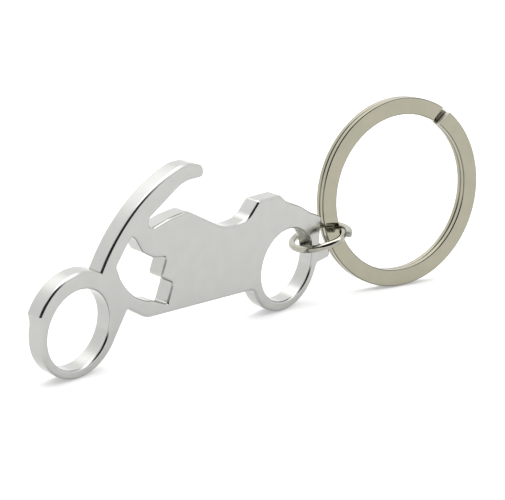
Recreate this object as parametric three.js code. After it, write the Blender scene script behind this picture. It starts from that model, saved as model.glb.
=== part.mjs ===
// Keychain bottle opener: a flat metal plate cut to the silhouette of a motorcycle, a round-wire
// jump ring through its rear wheel, and a flat-wire split ring for the keys.
// Millimetres, +Z up, standing on z = 0 with the origin in the middle of the footprint. The plate
// stands on its two wheels facing -X, and the split ring stands on its edge beside the rear wheel.

import * as THREE from 'three';

// ---- driving dimensions -------------------------------------------------------------------

// The pieces are drawn with x = 0 near the middle of the front wheel and y = 0 on the plate's
// mid-plane.
const FOOTPRINT_MIDDLE = { x: 36.5, y: -1.7 };

const PLATE_THICKNESS = 2.85;
const EDGE_ROUND = 0.35;
const EDGE_STEPS = 2;
const CHORD_ERROR = 0.012;

const FRONT_RIM = { x: 0.25, z: 7.45, r: 7.45 };
const FRONT_HOLE = { x: -0.1, z: 7.18, r: 5.78 };
const REAR_RIM = { x: 42.65, z: 7.25, r: 7.25 };
const REAR_HOLE = { x: 42.8, z: 7.25, r: 5.71 };
const FENDER = { x: 0.05, z: 7.3, r: 8.22 };
const WINDSCREEN = { x: 25.2, z: 4.15, r: 23.95 };
const MOUTH_FLOOR = { x: 16.15, z: 17.8, r: 9.93 };

const WIRE_RADIUS = 0.55;
const WIRE_SIDES = 12;
const JUMP_RING = {
  centre: [51.5, -0.04, 9.57],
  radius: 4.34,
  inwardEnd: 0.66,
  outwardEnd: 0.46,
  endBend: 50,
  innerEndAngle: -1,
  outerEndAngle: -20,
  facing: -48.96,
  tiltToRight: -17.5,
  tiltToFront: 3.4,
};

const SPLIT_RING = {
  centre: [65.77, -4.3, 15.08],
  outerRadius: 15,
  innerRadius: 12.35,
  coilThickness: 0.85,
  coilGap: 0.08,
  edge: 0.2,
  cutSlant: 1.05,
  turn: -14.9,
  lean: 5.6,
  freeEnd: 54,
  jogFrom: 61,
  jogTo: 55,
  hiddenEnd: 63,
  step: 5,
  jogStep: 1,
};

const PLATED_PLATE = { color: 0xc9cac7, roughness: 0.22, metalness: 1.0 };
const BRIGHT_WIRE = { color: 0xd2d2cc, roughness: 0.12, metalness: 1.0 };
const NICKEL_COIL = { color: 0xb8b29c, roughness: 0.14, metalness: 1.0 };

// ---- outlines -----------------------------------------------------------------------------

const radians = THREE.MathUtils.degToRad;

// One vertex of an outline; a radius turns it into a fillet between its neighbours.
function corner(x, z, radius = 0) {
  return [{ x, z, radius }];
}

// Vertices along a circular arc, close enough together to stay within CHORD_ERROR of it.
function arc(circle, fromDegrees, toDegrees) {
  const sweep = radians(toDegrees - fromDegrees);
  const step = 2 * Math.acos(1 - CHORD_ERROR / circle.r);
  const count = Math.max(2, Math.ceil(Math.abs(sweep) / step));
  return Array.from({ length: count + 1 }, (_, i) => {
    const angle = radians(fromDegrees) + sweep * i / count;
    const x = circle.x + circle.r * Math.cos(angle);
    const z = circle.z + circle.r * Math.sin(angle);
    return { x, z, radius: 0 };
  });
}

// The points of the fillet at `vertex` between the directions to its two neighbours.
function fillet(before, vertex, after) {
  const at = new THREE.Vector2(vertex.x, vertex.z);
  const back = new THREE.Vector2(before.x, before.z).sub(at).normalize();
  const ahead = new THREE.Vector2(after.x, after.z).sub(at).normalize();
  const half = Math.acos(THREE.MathUtils.clamp(back.dot(ahead), -1, 1)) / 2;
  const centre = back.clone().add(ahead).normalize();
  centre.multiplyScalar(vertex.radius / Math.sin(half)).add(at);
  const tangent = vertex.radius / Math.tan(half);
  const first = at.clone().addScaledVector(back, tangent).sub(centre);
  const last = at.clone().addScaledVector(ahead, tangent).sub(centre);
  const start = first.angle();
  let sweep = last.angle() - start;
  if (sweep > Math.PI) sweep -= 2 * Math.PI;
  if (sweep < -Math.PI) sweep += 2 * Math.PI;
  const step = 2 * Math.acos(1 - CHORD_ERROR / vertex.radius);
  const count = Math.max(1, Math.ceil(Math.abs(sweep) / step));
  return Array.from({ length: count + 1 }, (_, i) => {
    const angle = start + sweep * i / count;
    const x = centre.x + vertex.radius * Math.cos(angle);
    const z = centre.y + vertex.radius * Math.sin(angle);
    return new THREE.Vector2(x, z);
  });
}

function outline(...pieces) {
  const vertices = pieces.flat();
  return vertices.flatMap((vertex, i) => {
    if (vertex.radius === 0) return [new THREE.Vector2(vertex.x, vertex.z)];
    const before = vertices.at(i - 1);
    const after = vertices[(i + 1) % vertices.length];
    return fillet(before, vertex, after);
  });
}

// ---- opener plate -------------------------------------------------------------------------

// Counter-clockwise seen from the front, starting at the fender's front tip.
function plateOutline() {
  return outline(
    arc(FRONT_RIM, 170, 335),
    corner(9.2, 8.0, 0.25),
    // belly
    corner(13.05, 5.71, 4),
    corner(35.6, 4.88, 1.5),
    arc(REAR_RIM, 207, 345),
    // exhaust stub and tail
    corner(49.95, 6.05, 0.4),
    corner(52.9, 6.5, 0.6),
    corner(52.4, 8.4, 0.6),
    corner(50.05, 8.4, 0.25),
    corner(50.2, 13.5, 0.8),
    corner(47.65, 14.62, 0.8),
    corner(45.05, 16.13, 8),
    corner(41.8, 17.5, 1.5),
    corner(40.2, 18.78, 1.0),
    // seat
    corner(35.4, 18.78, 0.6),
    corner(33.2, 16.4, 3),
    corner(29.0, 15.75, 8),
    // tank
    corner(20.3, 20.25, 3),
    corner(16.6, 19.85, 8),
    corner(12.5, 18.8, 0.9),
    corner(12.63, 20.55, 0.8),
    // windscreen
    corner(19.25, 24.7, 6),
    corner(23.45, 24.7, 0.75),
    corner(23.0, 26.5, 1.2),
    corner(20.5, 27.2, 3),
    arc(WINDSCREEN, 106.5, 153),
    arc(FENDER, 64, 156),
    corner(-7.15, 9.5),
  );
}

// The opening that takes the crown cap, with its two stepped lips on the right.
function mouthOutline() {
  return outline(
    arc(MOUTH_FLOOR, 200, 254),
    corner(14.0, 8.2, 1.5),
    corner(17.05, 6.95, 0.25),
    corner(18.03, 9.97, 0.5),
    corner(15.53, 11.35, 0.5),
    corner(16.48, 14.2, 0.4),
    corner(13.75, 14.62, 1.0),
    corner(11.7, 15.8, 1.2),
    corner(10.3, 17.85, 0.8),
    corner(9.25, 18.65, 0.4),
    corner(6.6, 14.8, 0.5),
  );
}

function openerPlate() {
  const shape = new THREE.Shape(plateOutline());
  shape.holes.push(new THREE.Path(outline(arc(FRONT_HOLE, 0, 360).slice(1))));
  shape.holes.push(new THREE.Path(outline(arc(REAR_HOLE, 0, 360).slice(1))));
  shape.holes.push(new THREE.Path(mouthOutline()));
  const geometry = new THREE.ExtrudeGeometry(shape, {
    depth: PLATE_THICKNESS - 2 * EDGE_ROUND,
    bevelThickness: EDGE_ROUND,
    bevelSize: EDGE_ROUND,
    bevelOffset: -EDGE_ROUND,
    bevelSegments: EDGE_STEPS,
  });
  geometry.translate(0, 0, EDGE_ROUND - PLATE_THICKNESS / 2);
  geometry.rotateX(Math.PI / 2);
  return geometry;
}

// ---- wire rings ---------------------------------------------------------------------------

// A closed body swept through the given sections: each is a list of points, all the same length,
// running counter-clockwise when looked at from the sections before it.
function sweep(sections) {
  const sides = sections[0].length;
  const positions = [];
  const quad = (a, b, c, d) => [a, b, c, a, c, d].forEach((p) => positions.push(p.x, p.y, p.z));
  for (let i = 0; i + 1 < sections.length; i++) {
    for (let k = 0; k < sides; k++) {
      const next = (k + 1) % sides;
      quad(sections[i][k], sections[i + 1][k], sections[i + 1][next], sections[i][next]);
    }
  }
  const fan = (loop) => {
    for (let k = 1; k + 1 < sides; k++) {
      [loop[0], loop[k], loop[k + 1]].forEach((p) => positions.push(p.x, p.y, p.z));
    }
  };
  fan(sections[0]);
  fan([...sections.at(-1)].reverse());
  const geometry = new THREE.BufferGeometry();
  geometry.setAttribute('position', new THREE.Float32BufferAttribute(positions, 3));
  geometry.computeVertexNormals();
  return geometry;
}

// A point at `radius` from the ring's axis, `angle` round it and `height` along it.
function ringPoint(radius, angle, height) {
  return new THREE.Vector3(radius * Math.cos(angle), radius * Math.sin(angle), height);
}

// The jump ring lies in its own XY plane; its two cut ends pass side by side near +X.
function jumpRing() {
  const { radius, inwardEnd, outwardEnd, endBend, innerEndAngle, outerEndAngle } = JUMP_RING;
  const first = outerEndAngle;
  const last = 360 + innerEndAngle;
  const ease = (degrees) => THREE.MathUtils.smoothstep(endBend - degrees, 0, endBend);
  const count = Math.ceil((last - first) / 7.5);
  const sections = Array.from({ length: count + 1 }, (_, i) => {
    const degrees = first + (last - first) * i / count;
    const outward = outwardEnd * ease(degrees - first);
    const inward = inwardEnd * ease(last - degrees);
    const centre = radius + outward - inward;
    return Array.from({ length: WIRE_SIDES }, (_, k) => {
      const around = 2 * Math.PI * k / WIRE_SIDES;
      const r = centre + WIRE_RADIUS * Math.cos(around);
      return ringPoint(r, radians(degrees), WIRE_RADIUS * Math.sin(around));
    });
  });
  const geometry = sweep(sections);
  geometry.rotateX(radians(JUMP_RING.tiltToFront));
  geometry.rotateY(radians(JUMP_RING.tiltToRight));
  geometry.rotateZ(radians(JUMP_RING.facing));
  geometry.translate(...JUMP_RING.centre);
  return geometry;
}

// The split ring's two coils lie one behind the other; the wire runs clockwise from the free end
// round the front coil, jogs back behind that end and runs once more round the back coil.
function splitRing() {
  const ring = SPLIT_RING;
  const angles = [];
  for (let a = ring.freeEnd; a > ring.jogFrom - 360; a -= ring.step) angles.push(a);
  for (let a = ring.jogFrom - 360; a > ring.jogTo - 360; a -= ring.jogStep) angles.push(a);
  for (let a = ring.jogTo - 360; a > ring.hiddenEnd - 720; a -= ring.step) angles.push(a);
  angles.push(ring.hiddenEnd - 720);
  const pitch = ring.coilThickness + ring.coilGap;
  const sections = angles.map((degrees) => {
    const back = THREE.MathUtils.smoothstep(-degrees, 360 - ring.jogFrom, 360 - ring.jogTo);
    const front = -pitch * back;
    const rear = front - ring.coilThickness;
    const inner = ring.innerRadius;
    const outer = ring.outerRadius;
    const e = ring.edge;
    const profile = [
      [outer - e, front],
      [outer, front - e],
      [outer, rear + e],
      [outer - e, rear],
      [inner + e, rear],
      [inner, rear + e],
      [inner, front - e],
      [inner + e, front],
    ];
    return profile.map(([radius, depth]) => {
      const slant = ring.cutSlant * (radius - (inner + outer) / 2);
      return ringPoint(radius, radians(degrees - slant), depth);
    });
  });
  const geometry = sweep(sections);
  geometry.rotateX(Math.PI / 2);
  geometry.rotateX(-radians(ring.lean));
  geometry.rotateZ(radians(ring.turn));
  geometry.translate(...ring.centre);
  return geometry;
}

// ---- assembly -----------------------------------------------------------------------------

function part(name, geometry, finish) {
  const mesh = new THREE.Mesh(geometry, new THREE.MeshStandardMaterial(finish));
  mesh.name = name;
  return mesh;
}

const group = new THREE.Group();
group.name = 'keychain_bottle_opener';
group.add(part('opener_plate', openerPlate(), PLATED_PLATE));
group.add(part('jump_ring', jumpRing(), BRIGHT_WIRE));
group.add(part('split_ring', splitRing(), NICKEL_COIL));
for (const mesh of group.children) {
  mesh.geometry.translate(-FOOTPRINT_MIDDLE.x, -FOOTPRINT_MIDDLE.y, 0);
}

export default group;
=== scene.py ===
# Keychain bottle opener: the looks. Metres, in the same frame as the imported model. The opener plate,
# the jump ring and the split ring are rebuilt finely from the dimensions of the solids that they
# replace, so that their polished surfaces reflect cleanly.
import math

import bpy
from mathutils import Matrix, Vector
from mathutils.geometry import tessellate_polygon


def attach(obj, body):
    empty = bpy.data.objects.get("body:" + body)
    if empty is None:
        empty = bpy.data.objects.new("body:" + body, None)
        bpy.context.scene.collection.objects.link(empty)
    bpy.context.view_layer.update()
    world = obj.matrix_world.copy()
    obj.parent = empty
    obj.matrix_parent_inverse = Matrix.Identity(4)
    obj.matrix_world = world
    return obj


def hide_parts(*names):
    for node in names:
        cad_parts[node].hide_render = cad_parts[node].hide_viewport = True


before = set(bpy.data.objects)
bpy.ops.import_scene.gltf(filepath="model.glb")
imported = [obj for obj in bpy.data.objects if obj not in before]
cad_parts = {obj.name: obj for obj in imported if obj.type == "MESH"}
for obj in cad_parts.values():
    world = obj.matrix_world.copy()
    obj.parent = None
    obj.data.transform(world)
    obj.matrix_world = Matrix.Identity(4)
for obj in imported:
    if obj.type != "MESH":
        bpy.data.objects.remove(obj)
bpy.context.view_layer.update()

MM = 0.001
TAU = 2 * math.pi

# ---- dimensions, in millimetres and degrees ------------------------------------------------------

# Shapes and places are the solids'. Only the rounding of the plate's edges, the small chamfer on the
# wires' ends and the fineness of the curves are this script's own.

FOOTPRINT_MIDDLE = (36.5, -1.7)

PLATE_THICKNESS = 2.85
OUTER_EDGE_ROUND = 0.48
HOLE_EDGE_ROUND = 0.38
EDGE_STEPS = 10
ARC_ERROR = 0.001

# circles, as x and z of the middle, and radius
FRONT_RIM = (0.25, 7.45, 7.45)
FRONT_HOLE = (-0.1, 7.18, 5.78)
REAR_RIM = (42.65, 7.25, 7.25)
REAR_HOLE = (42.8, 7.25, 5.71)
FENDER = (0.05, 7.3, 8.22)
WINDSCREEN = (25.2, 4.15, 23.95)
MOUTH_FLOOR = (16.15, 17.8, 9.93)

# angles round a ring are counter-clockwise seen from above it, or from in front of the split ring
WIRE_RADIUS = 0.55
WIRE_SIDES = 40
END_CHAMFER = 0.05
JUMP_SECTIONS = 240
JUMP_CENTRE = (51.5, -0.04, 9.57)
JUMP_RADIUS = 4.34
INWARD_END = 0.66
OUTWARD_END = 0.46
END_BEND = 50
INNER_END_ANGLE = -1
OUTER_END_ANGLE = -20
JUMP_FACING = -48.96
JUMP_TILT_TO_RIGHT = -17.5
JUMP_TILT_TO_FRONT = 3.4

SPLIT_CENTRE = (65.77, -4.3, 15.08)
SPLIT_OUTER = 15
SPLIT_INNER = 12.35
SPLIT_MIDDLE = (SPLIT_OUTER + SPLIT_INNER) / 2
COIL_THICKNESS = 0.85
COIL_GAP = 0.08
COIL_EDGE = 0.2
COIL_EDGE_STEPS = 6
COIL_STEP = 2
JOG_STEP = 0.25
CUT_SLANT = 1.05
SPLIT_TURN = -14.9
SPLIT_LEAN = 5.6
FREE_END = 54
JOG_FROM = 61
JOG_TO = 55
HIDDEN_END = 63

# ---- helpers -------------------------------------------------------------------------------------


def rotation(degrees, axis):
    return Matrix.Rotation(math.radians(degrees), 4, axis)


def to_frame(point):
    """A drawn point in millimetres, as a point of the shared frame in metres."""
    x, y = FOOTPRINT_MIDDLE
    return Vector((point[0] - x, point[1] - y, point[2])) * MM


def smoothstep(value, low, high):
    t = min(max((value - low) / (high - low), 0), 1)
    return t * t * (3 - 2 * t)


def body_mesh(name, points, faces, normals):
    """A smooth-shaded mesh piece; `normals` holds one list of corner normals for each face."""
    mesh = bpy.data.meshes.new(name)
    mesh.from_pydata(points, [], faces)
    mesh.polygons.foreach_set("use_smooth", [True] * len(faces))
    mesh.normals_split_custom_set([normal for corners in normals for normal in corners])
    mesh.update()
    obj = bpy.data.objects.new(name, mesh)
    bpy.context.scene.collection.objects.link(obj)
    return obj


# ---- outlines ------------------------------------------------------------------------------------


def arc_steps(radius, sweep):
    """How many steps keep an arc within ARC_ERROR, at 1 to 6 degrees each."""
    step = min(max(2 * math.acos(1 - ARC_ERROR / radius), math.radians(1)), math.radians(6))
    return max(2, math.ceil(abs(sweep) / step))


def corner(x, z, radius=0):
    """One vertex of an outline; a radius turns it into a fillet between its neighbours."""
    return [(x, z, radius)]


def arc(circle, start, end):
    cx, cz, r = circle
    sweep = math.radians(end - start)
    count = arc_steps(r, sweep)
    angles = [math.radians(start) + sweep * i / count for i in range(count + 1)]
    return [(cx + r * math.cos(a), cz + r * math.sin(a), 0) for a in angles]


def fillet(before, vertex, after):
    """The points of the fillet at a vertex, between the directions to its two neighbours."""
    at = Vector(vertex[:2])
    radius = vertex[2]
    back = (Vector(before[:2]) - at).normalized()
    ahead = (Vector(after[:2]) - at).normalized()
    half = back.angle(ahead) / 2
    centre = at + (back + ahead).normalized() * radius / math.sin(half)
    tangent = radius / math.tan(half)
    first = at + back * tangent - centre
    last = at + ahead * tangent - centre
    start = math.atan2(first.y, first.x)
    sweep = (math.atan2(last.y, last.x) - start + math.pi) % TAU - math.pi
    count = arc_steps(radius, sweep)
    angles = [start + sweep * i / count for i in range(count + 1)]
    return [centre + Vector((math.cos(a), math.sin(a))) * radius for a in angles]


def outline(*pieces):
    vertices = [vertex for piece in pieces for vertex in piece]
    points = []
    for i, vertex in enumerate(vertices):
        if vertex[2] == 0:
            points.append(Vector(vertex[:2]))
        else:
            points.extend(fillet(vertices[i - 1], vertex, vertices[(i + 1) % len(vertices)]))
    return points


def plate_outline():
    """Counter-clockwise seen from the front, starting at the fender's front tip."""
    return outline(
        arc(FRONT_RIM, 170, 335),
        corner(9.2, 8.0, 0.25),
        # belly
        corner(13.05, 5.71, 4),
        corner(35.6, 4.88, 1.5),
        arc(REAR_RIM, 207, 345),
        # exhaust stub and tail
        corner(49.95, 6.05, 0.4),
        corner(52.9, 6.5, 0.6),
        corner(52.4, 8.4, 0.6),
        corner(50.05, 8.4, 0.25),
        corner(50.2, 13.5, 0.8),
        corner(47.65, 14.62, 0.8),
        corner(45.05, 16.13, 8),
        corner(41.8, 17.5, 1.5),
        corner(40.2, 18.78, 1.0),
        # seat
        corner(35.4, 18.78, 0.6),
        corner(33.2, 16.4, 3),
        corner(29.0, 15.75, 8),
        # tank
        corner(20.3, 20.25, 3),
        corner(16.6, 19.85, 8),
        corner(12.5, 18.8, 0.9),
        corner(12.63, 20.55, 0.8),
        # windscreen
        corner(19.25, 24.7, 6),
        corner(23.45, 24.7, 0.75),
        corner(23.0, 26.5, 1.2),
        corner(20.5, 27.2, 3),
        arc(WINDSCREEN, 106.5, 153),
        arc(FENDER, 64, 156),
        corner(-7.15, 9.5),
    )


def mouth_outline():
    """Counter-clockwise seen from the front, starting at the upper end of its round floor."""
    return outline(
        arc(MOUTH_FLOOR, 200, 254),
        corner(14.0, 8.2, 1.5),
        corner(17.05, 6.95, 0.25),
        corner(18.03, 9.97, 0.5),
        corner(15.53, 11.35, 0.5),
        corner(16.48, 14.2, 0.4),
        corner(13.75, 14.62, 1.0),
        corner(11.7, 15.8, 1.2),
        corner(10.3, 17.85, 0.8),
        corner(9.25, 18.65, 0.4),
        corner(6.6, 14.8, 0.5),
    )


# ---- opener plate --------------------------------------------------------------------------------

CREASE = math.radians(24)


def edge_normals(loop):
    """The outward normal of the edge that leaves each point, for metal on the loop's left."""
    ahead = [(loop[(i + 1) % len(loop)] - p).normalized() for i, p in enumerate(loop)]
    return [Vector((d.y, -d.x)) for d in ahead]


def edge_levels(radius):
    """Inset, height from the mid-plane, and the outward and upward parts of the normal, in order
    from the back face to the front face."""
    levels = []
    half = PLATE_THICKNESS / 2
    for side in (-1, 1):
        steps = range(EDGE_STEPS + 1)
        for k in steps if side > 0 else reversed(steps):
            turn = math.pi / 2 * k / EDGE_STEPS
            inset = radius * (1 - math.cos(turn))
            height = side * (half - radius * (1 - math.sin(turn)))
            levels.append((inset, height, math.cos(turn), side * math.sin(turn)))
    return levels


def opener_plate():
    """The outline and its three openings, with rounded edges, flat faces and creases kept sharp."""
    holes = [outline(arc(FRONT_HOLE, 0, 360)[1:]), outline(arc(REAR_HOLE, 0, 360)[1:])]
    holes.append(mouth_outline())
    loops = [plate_outline()] + [list(reversed(hole)) for hole in holes]
    points, faces, normals = [], [], []
    top = 2 * EDGE_STEPS + 1
    caps = {0: [], top: []}
    cap_ids = {0: [], top: []}
    for loop in loops:
        levels = edge_levels(OUTER_EDGE_ROUND if loop is loops[0] else HOLE_EDGE_ROUND)
        outward = edge_normals(loop)
        count = len(loop)
        start = len(points)
        for level, (inset, height, _, _) in enumerate(levels):
            for i, p in enumerate(loop):
                n0, n1 = outward[i - 1], outward[i]
                mitre = (n0 + n1) / (1 + n0.dot(n1))
                q = p - mitre * inset
                points.append(to_frame((q.x, -height, q.y)))
            if level in caps:
                first = start + level * count
                cap_ids[level].extend(range(first, first + count))
                caps[level].append([points[first + i] for i in range(count)])

        def normal(i, edge, level):
            """At point i, as seen from the given edge, which is the one before or after it."""
            n0, n1 = outward[i - 1], outward[i]
            flat = outward[edge] if n0.angle(n1) > CREASE else (n0 + n1).normalized()
            _, _, out, up = levels[level]
            return Vector((flat.x * out, -up, flat.y * out))

        for level in range(len(levels) - 1):
            for i in range(count):
                j = (i + 1) % count
                a, b = start + level * count, start + (level + 1) * count
                faces.append((a + i, a + j, b + j, b + i))
                normals.append([normal(i, i, level), normal(j, i, level),
                                normal(j, i, level + 1), normal(i, i, level + 1)])
    for level, rings in caps.items():
        facing = Vector((0, -1 if level else 1, 0))
        for tri in tessellate_polygon(rings):
            a, b, c = (cap_ids[level][t] for t in tri)
            if (points[b] - points[a]).cross(points[c] - points[a]).dot(facing) < 0:
                b, c = c, b
            faces.append((a, b, c))
            normals.append([facing] * 3)
    return body_mesh("plate_body", points, faces, normals)


# ---- wire rings ----------------------------------------------------------------------------------


def swept(name, sections):
    """A closed body through the sections, each of them its points and their outward normals, with
    smooth sides and flat ends with a small chamfer. The ends are its second material."""
    rings = [ring for ring, _ in sections]
    sides = len(rings[0])
    last = len(rings) - 1
    chamfer = END_CHAMFER * MM

    def travel(i, k):
        return (rings[min(i + 1, last)][k] - rings[max(i - 1, 0)][k]).normalized()

    side_normals = []
    for i, (_, outward) in enumerate(sections):
        row = []
        for k, n in enumerate(outward):
            t = travel(i, k)
            row.append((n - t * n.dot(t)).normalized())
        side_normals.append(row)
    points = [point for ring in rings for point in ring]
    faces, normals = [], []
    for i in range(last):
        for k in range(sides):
            m = (k + 1) % sides
            a, b = i * sides, (i + 1) * sides
            faces.append((a + k, b + k, b + m, a + m))
            normals.append([side_normals[i][k], side_normals[i + 1][k],
                            side_normals[i + 1][m], side_normals[i][m]])
    for end, way in ((0, -1), (last, 1)):
        ring = rings[end]
        facing = (ring[sides // 4] - ring[0]).cross(ring[sides // 2] - ring[0]).normalized()
        if facing.dot(travel(end, 0)) * way < 0:
            facing.negate()
        rim = len(points)
        for k in range(sides):
            points.append(ring[k] + (facing - side_normals[end][k]) * chamfer)
        slanted = [(side_normals[end][k] + facing).normalized() for k in range(sides)]
        for k in range(sides):
            m = (k + 1) % sides
            quad = (end * sides + k, rim + k, rim + m, end * sides + m)
            tilt = [side_normals[end][k], slanted[k], slanted[m], side_normals[end][m]]
            if way < 0:
                quad, tilt = quad[::-1], tilt[::-1]
            faces.append(quad)
            normals.append(tilt)
        cap = [rim + k for k in range(sides)]
        faces.append(tuple(cap[::-1] if way > 0 else cap))
        normals.append([facing] * sides)
    obj = body_mesh(name, points, faces, normals)
    for polygon in obj.data.polygons[last * sides:]:
        polygon.material_index = 1
    return obj


def polar(radius, angle, height):
    return Vector((radius * math.cos(angle), radius * math.sin(angle), height))


def ring_section(place, profile, radius, degrees, height=0, slant=0):
    """The profile's points and outward normals, where the wire is at an angle round its ring. The
    profile holds a point and a normal for each corner, as (outward, upward) pairs; a slant turns
    its outer points back by that many degrees for each millimetre."""
    turn = place.to_3x3()
    points, normals = [], []
    for (out, up), (facing_out, facing_up) in profile:
        angle = math.radians(degrees - slant * out)
        points.append(to_frame(place @ polar(radius + out, angle, height + up)))
        normals.append(turn @ polar(facing_out, angle, facing_up))
    return points, normals


def wire_profile():
    """The round wire's section, from its middle."""
    facings = [polar(1, TAU * k / WIRE_SIDES, 0).xy for k in range(WIRE_SIDES)]
    return [(facing * WIRE_RADIUS, facing) for facing in facings]


def jump_ring():
    place = (Matrix.Translation(JUMP_CENTRE) @ rotation(JUMP_FACING, "Z")
             @ rotation(JUMP_TILT_TO_RIGHT, "Y") @ rotation(JUMP_TILT_TO_FRONT, "X"))
    profile = wire_profile()
    trim = math.degrees(END_CHAMFER / JUMP_RADIUS)
    first = OUTER_END_ANGLE + trim
    last = 360 + INNER_END_ANGLE - trim
    sections = []
    for i in range(JUMP_SECTIONS + 1):
        degrees = first + (last - first) * i / JUMP_SECTIONS
        outward = OUTWARD_END * smoothstep(END_BEND - (degrees - OUTER_END_ANGLE), 0, END_BEND)
        inward = INWARD_END * smoothstep(END_BEND - (360 + INNER_END_ANGLE - degrees), 0, END_BEND)
        sections.append(ring_section(place, profile, JUMP_RADIUS + outward - inward, degrees))
    return swept("jump_wire", sections)


def coil_profile():
    """The flat wire's section, from the middle of its front face."""
    profile = []
    half_width = (SPLIT_OUTER - SPLIT_INNER) / 2 - COIL_EDGE
    half_depth = COIL_THICKNESS / 2 - COIL_EDGE
    for side, face, start in ((1, 1, 90), (1, -1, 0), (-1, -1, -90), (-1, 1, -180)):
        for k in range(COIL_EDGE_STEPS + 1):
            angle = math.radians(start - 90 * k / COIL_EDGE_STEPS)
            out, front = math.cos(angle), math.sin(angle)
            point = (side * half_width + COIL_EDGE * out,
                     face * half_depth + COIL_EDGE * front - COIL_THICKNESS / 2)
            profile.append((point, (out, front)))
    return profile


def coil_angles():
    """From the free end to the hidden one, in degrees, with the closest steps along the jog."""
    trim = math.degrees(END_CHAMFER / SPLIT_INNER)
    hidden_end = HIDDEN_END - 720 + trim
    angles = []
    for start, end, step in ((FREE_END - trim, JOG_FROM - 360, COIL_STEP),
                             (JOG_FROM - 360, JOG_TO - 360, JOG_STEP),
                             (JOG_TO - 360, hidden_end, COIL_STEP)):
        count = math.ceil((start - end) / step)
        angles.extend(start + (end - start) * i / count for i in range(count))
    return angles + [hidden_end]


# how much of the painted dark reflection on the rounded edges the coil's rear turn gets, beside its
# front turn
REAR_TURN_PAINTED_REFLECTION_SHARE = 0.5


def paint_dark_edge_reflections(coil, angles):
    """Marks for the material how much painted dark reflection each point of the coil gets: most in
    the middle of the rounded edges that face the front."""
    # the "edge" attribute holds painted dark reflection: most in the middle of the front-facing
    # rounded edges
    edge = coil.data.attributes.new("edge", "FLOAT", "POINT")
    rounded = [1 - abs(2 * k / COIL_EDGE_STEPS - 1) for k in range(COIL_EDGE_STEPS + 1)]
    facing_back = [0] * (2 * len(rounded))
    painted_dark_reflection = rounded + facing_back + rounded
    for section, degrees in enumerate(angles):
        share = 1 if degrees > JOG_FROM - 360 else REAR_TURN_PAINTED_REFLECTION_SHARE
        for k, amount in enumerate(painted_dark_reflection):
            edge.data[section * len(painted_dark_reflection) + k].value = amount * share


def split_ring():
    place = (Matrix.Translation(SPLIT_CENTRE) @ rotation(SPLIT_TURN, "Z")
             @ rotation(-SPLIT_LEAN, "X") @ rotation(90, "X"))
    profile = coil_profile()
    angles = coil_angles()
    sections = []
    for degrees in angles:
        jog = smoothstep(-degrees, 360 - JOG_FROM, 360 - JOG_TO)
        height = -(COIL_THICKNESS + COIL_GAP) * jog
        sections.append(ring_section(place, profile, SPLIT_MIDDLE, degrees, height, CUT_SLANT))
    coil = swept("split_coil", sections)
    paint_dark_edge_reflections(coil, angles)
    return coil


# ---- materials -----------------------------------------------------------------------------------

# noise scales: the clouding of the plating, the patches of gloss and the waves of the surface
MOTTLE_SCALE = 420
GLOSS_SCALE = 160
WAVE_SCALE = 900


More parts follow.
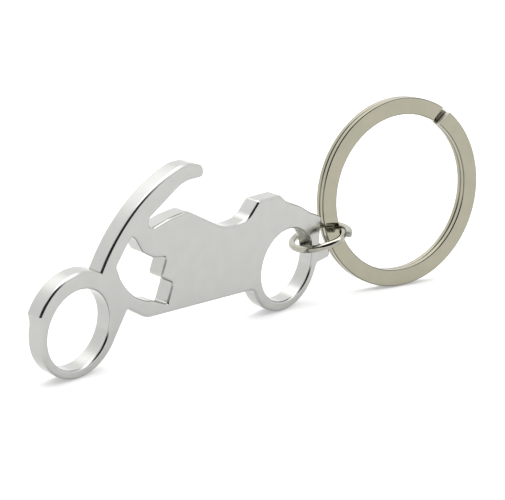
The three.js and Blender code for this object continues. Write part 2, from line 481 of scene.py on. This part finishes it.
def polished_metal(name, colour, stain, roughness, scratch_scale, wave_height,
                   metallic=1.0, edge=1.0):
    """Plated metal: a faint mottling of the plating, patchy gloss and fine handling scratches.
    Where the mesh marks an edge for painted dark reflection, the colour goes towards `edge` times
    itself."""
    material = bpy.data.materials.new(name)
    material.use_nodes = True
    nodes, links = material.node_tree.nodes, material.node_tree.links
    shader = nodes["Principled BSDF"]
    shader.inputs["Metallic"].default_value = metallic
    coords = nodes.new("ShaderNodeTexCoord")

    def noise(scale, detail, stretch=None):
        texture = nodes.new("ShaderNodeTexNoise")
        texture.inputs["Scale"].default_value = scale
        texture.inputs["Detail"].default_value = detail
        source = coords.outputs["Object"]
        if stretch:
            mapping = nodes.new("ShaderNodeMapping")
            mapping.inputs["Scale"].default_value = stretch[0]
            mapping.inputs["Rotation"].default_value = stretch[1]
            links.new(source, mapping.inputs["Vector"])
            source = mapping.outputs["Vector"]
        links.new(source, texture.inputs["Vector"])
        return texture.outputs["Fac"]

    def spread(value, low, high, to_low, to_high):
        node = nodes.new("ShaderNodeMapRange")
        node.interpolation_type = "SMOOTHSTEP"
        for socket, number in zip(("From Min", "From Max", "To Min", "To Max"),
                                  (low, high, to_low, to_high)):
            node.inputs[socket].default_value = number
        links.new(value, node.inputs["Value"])
        return node.outputs["Result"]

    def add(a, b):
        node = nodes.new("ShaderNodeMath")
        node.operation = "ADD"
        links.new(a, node.inputs[0])
        links.new(b, node.inputs[1])
        return node.outputs["Value"]

    mottle = spread(noise(MOTTLE_SCALE, 3), 0.35, 0.65, 0, 1)
    tint = nodes.new("ShaderNodeMix")
    tint.data_type = "RGBA"
    tint.inputs["A"].default_value = (*colour, 1)
    tint.inputs["B"].default_value = (*stain, 1)
    links.new(mottle, tint.inputs["Factor"])
    # painted dark reflection: the colour is multiplied down where the mesh's "edge" attribute marks
    # rounded edges
    painted_reflection_place = nodes.new("ShaderNodeAttribute")
    painted_reflection_place.attribute_name = "edge"
    painted_dark_reflection = nodes.new("ShaderNodeMix")
    painted_dark_reflection.data_type = "RGBA"
    painted_dark_reflection.blend_type = "MULTIPLY"
    painted_dark_reflection.inputs["B"].default_value = (edge, edge, edge, 1)
    links.new(painted_reflection_place.outputs["Fac"], painted_dark_reflection.inputs["Factor"])
    links.new(tint.outputs["Result"], painted_dark_reflection.inputs["A"])
    links.new(painted_dark_reflection.outputs["Result"], shader.inputs["Base Color"])

    # hair scratches: two families of long thin streaks, only the crests of which show
    lengthways = noise(scratch_scale, 2, ((0.05, 1, 1.2), (0, math.radians(24), 0)))
    crossways = noise(scratch_scale, 2, ((1, 1, 0.06), (0, math.radians(31), 0)))
    scratches = add(spread(lengthways, 0.68, 0.76, 0, 1), spread(crossways, 0.7, 0.78, 0, 1))
    patchy = spread(noise(GLOSS_SCALE, 2), 0.3, 0.7, roughness[0], roughness[1])
    links.new(add(patchy, spread(scratches, 0, 1, 0, 0.05)), shader.inputs["Roughness"])

    waviness = nodes.new("ShaderNodeBump")
    waviness.inputs["Strength"].default_value = 1.0
    waviness.inputs["Distance"].default_value = wave_height
    links.new(add(noise(WAVE_SCALE, 1), spread(scratches, 0, 1, 0, -0.15)), waviness.inputs["Height"])
    links.new(waviness.outputs["Normal"], shader.inputs["Normal"])
    return material


plate = opener_plate()
wire = jump_ring()
coil = split_ring()

plate.data.materials.append(polished_metal(
    "plated_plate", colour=(0.411, 0.413, 0.396), stain=(0.398, 0.402, 0.385),
    roughness=(0.16, 0.21), scratch_scale=900, wave_height=0.002 * MM))
wire.data.materials.append(polished_metal(
    "bright_wire", colour=(0.34, 0.332, 0.285), stain=(0.30, 0.295, 0.25),
    roughness=(0.03, 0.05), scratch_scale=1200, wave_height=0.001 * MM))
wire.data.materials.append(polished_metal(
    "sheared_wire_end", colour=(0.45, 0.45, 0.42), stain=(0.32, 0.32, 0.29),
    roughness=(0.4, 0.55), scratch_scale=3000, wave_height=0.01 * MM, metallic=0.4))
# the coil's rounded edges carry a painted dark reflection, down to 0.32 of its colour
coil.data.materials.append(polished_metal(
    "nickel_coil", colour=(0.32, 0.304, 0.237), stain=(0.304, 0.293, 0.23),
    roughness=(0.06, 0.09), scratch_scale=1100, wave_height=0.001 * MM, edge=0.32))
coil.data.materials.append(polished_metal(
    "sheared_coil_end", colour=(0.74, 0.72, 0.64), stain=(0.6, 0.58, 0.5),
    roughness=(0.4, 0.55), scratch_scale=3000, wave_height=0.01 * MM, metallic=0.2))

for piece, node in ((plate, "opener_plate"), (wire, "jump_ring"), (coil, "split_ring")):
    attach(piece, node)
    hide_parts(node)

# ---- floor, light and camera ---------------------------------------------------------------------

TENT_BRIGHTNESS = 1.4
DARKEST = 0.02
# each patch of the tent: the direction to its middle, what it adds, and how many degrees from its
# middle it begins to fade and is gone
PATCHES = [
    # box at the back, and the glow round it
    ((0.10, 0.62, 0.775), 0.5, 6, 24),
    ((0.15, 0.68, 0.72), 0.22, 10, 45),
    # boxes above: one towards the front, one overhead
    ((0.30, -0.52, 0.80), 1.4, 12, 22),
    ((0.15, 0.15, 0.98), 2.8, 12, 34),
    # dark gaps in front and at the left
    ((-0.33, -0.75, 0.57), -1.4, 32, 43),
    ((-0.86, -0.20, 0.47), -1.38, 12, 24),
]

# the camera's place and lens, in millimetres and degrees, as fitted to the photographed circles
CAMERA_AZIMUTH = -48.956
CAMERA_ELEVATION = 18.594
CAMERA_ROLL = 3.56
CAMERA_RIGHT = 24.0159
CAMERA_UP = 17.6244
CAMERA_BACK = 291.197
CAMERA_SHIFT_TO_FRONT = 1.155
SENSOR_WIDTH = 36
LENS = 151.38
FLOOR_REACH = 4000


def floor():
    size = FLOOR_REACH * MM
    mesh = bpy.data.meshes.new("floor")
    corners = [(-size, -size, 0), (size, -size, 0), (size, size, 0), (-size, size, 0)]
    mesh.from_pydata(corners, [], [(0, 1, 2, 3)])
    obj = bpy.data.objects.new("floor", mesh)
    bpy.context.scene.collection.objects.link(obj)
    material = bpy.data.materials.new("pale_floor")
    material.use_nodes = True
    shader = material.node_tree.nodes["Principled BSDF"]
    shader.inputs["Base Color"].default_value = (0.65, 0.65, 0.65, 1)
    shader.inputs["Roughness"].default_value = 0.9
    shader.inputs["Specular IOR Level"].default_value = 0.0
    shader.inputs["Emission Color"].default_value = (1, 1, 1, 1)
    shader.inputs["Emission Strength"].default_value = 0.35
    mesh.materials.append(material)


def studio_light():
    """A bright tent all round, with brighter and darker patches that fade into it."""
    world = bpy.data.worlds.new("studio")
    bpy.context.scene.world = world
    world.use_nodes = True
    nodes, links = world.node_tree.nodes, world.node_tree.links
    background = nodes["Background"]
    background.inputs["Color"].default_value = (1, 1, 1, 1)
    coords = nodes.new("ShaderNodeTexCoord")
    total = None
    for towards, amount, full, gone in PATCHES:
        dot = nodes.new("ShaderNodeVectorMath")
        dot.operation = "DOT_PRODUCT"
        links.new(coords.outputs["Generated"], dot.inputs[0])
        dot.inputs[1].default_value = Vector(towards).normalized()
        fade = nodes.new("ShaderNodeMapRange")
        fade.interpolation_type = "SMOOTHSTEP"
        fade.inputs["From Min"].default_value = math.cos(math.radians(gone))
        fade.inputs["From Max"].default_value = math.cos(math.radians(full))
        fade.inputs["To Max"].default_value = amount
        links.new(dot.outputs["Value"], fade.inputs["Value"])
        sum_up = nodes.new("ShaderNodeMath")
        sum_up.operation = "ADD"
        if total is None:
            sum_up.inputs[0].default_value = TENT_BRIGHTNESS
        else:
            links.new(total, sum_up.inputs[0])
        links.new(fade.outputs["Result"], sum_up.inputs[1])
        total = sum_up.outputs["Value"]
    at_least = nodes.new("ShaderNodeMath")
    at_least.operation = "MAXIMUM"
    links.new(total, at_least.inputs[0])
    at_least.inputs[1].default_value = DARKEST
    links.new(at_least.outputs["Value"], background.inputs["Strength"])


def photo_camera():
    """The lens and place that bring the drawn circles onto the photographed ones."""
    azimuth, elevation, roll = (
        math.radians(a) for a in (CAMERA_AZIMUTH, CAMERA_ELEVATION, CAMERA_ROLL))
    back = Vector((math.sin(azimuth) * math.cos(elevation),
                   -math.cos(azimuth) * math.cos(elevation), math.sin(elevation)))
    level = Vector((math.cos(azimuth), math.sin(azimuth), 0))
    upright = back.cross(level)
    right = level * math.cos(roll) + upright * math.sin(roll)
    up = upright * math.cos(roll) - level * math.sin(roll)
    place = right * CAMERA_RIGHT + up * CAMERA_UP + back * CAMERA_BACK
    place.y -= CAMERA_SHIFT_TO_FRONT
    data = bpy.data.cameras.new("camera")
    data.sensor_width = SENSOR_WIDTH
    data.lens = LENS
    data.clip_start = 0.01
    camera = bpy.data.objects.new("camera", data)
    camera.matrix_world = Matrix.LocRotScale(
        to_frame(place), Matrix((right, up, back)).transposed().to_quaternion(), None)
    bpy.context.scene.collection.objects.link(camera)
    bpy.context.scene.camera = camera


floor()
studio_light()
photo_camera()
bpy.context.scene.view_settings.view_transform = "Standard"
